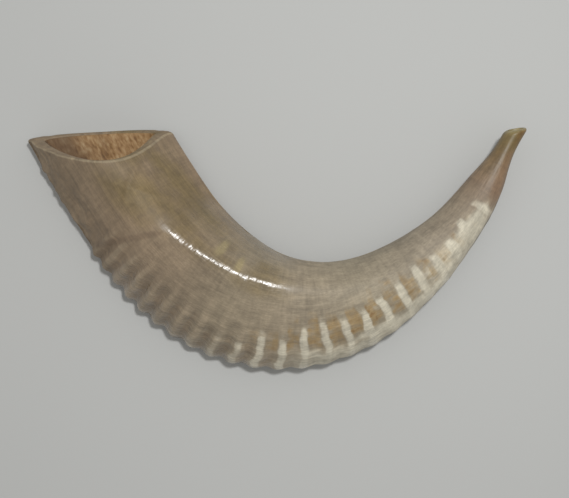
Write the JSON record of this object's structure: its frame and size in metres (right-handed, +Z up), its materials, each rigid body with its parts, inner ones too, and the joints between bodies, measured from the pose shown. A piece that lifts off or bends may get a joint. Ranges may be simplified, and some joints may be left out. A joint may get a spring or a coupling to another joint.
{
  "type": "shofar",
  "caption": "Curved ram's horn trumpet with a wide bell, growth ridges round the bend, a drilled solid tip and a cupped mouthpiece for the player's lips.",
  "frame": {"origin": "under the middle of the horn's bounding box, on the table it lies on", "axes": "+X along the horn's span, from the bell to the mouthpiece; +Y into the hollow of the bend, the way the bell opens; +Z up from the table, through the horn's flattened sides"},
  "size_m": [0.2738, 0.1334, 0.0461],
  "materials": {
    "bell_horn": "polished natural horn (keratin), olive brown",
    "ridged_horn": "polished natural horn (keratin), brown with pale ridge crests",
    "tip_horn": "polished natural horn (keratin), pinkish brown",
    "mouthpiece_horn": "polished natural horn (keratin), translucent amber with a pale cut face",
    "raw_inner_horn": "rough unpolished inner horn, ochre"
  },
  "bodies": {
    "root": {"bell_flare": "bell_horn", "lower_ridged_wall": "ridged_horn", "middle_ridged_wall": "ridged_horn", "upper_ridged_wall": "ridged_horn", "solid_tip": "tip_horn", "mouthpiece": "mouthpiece_horn", "inner_lining": "raw_inner_horn"}
  },
  "joints": []
}
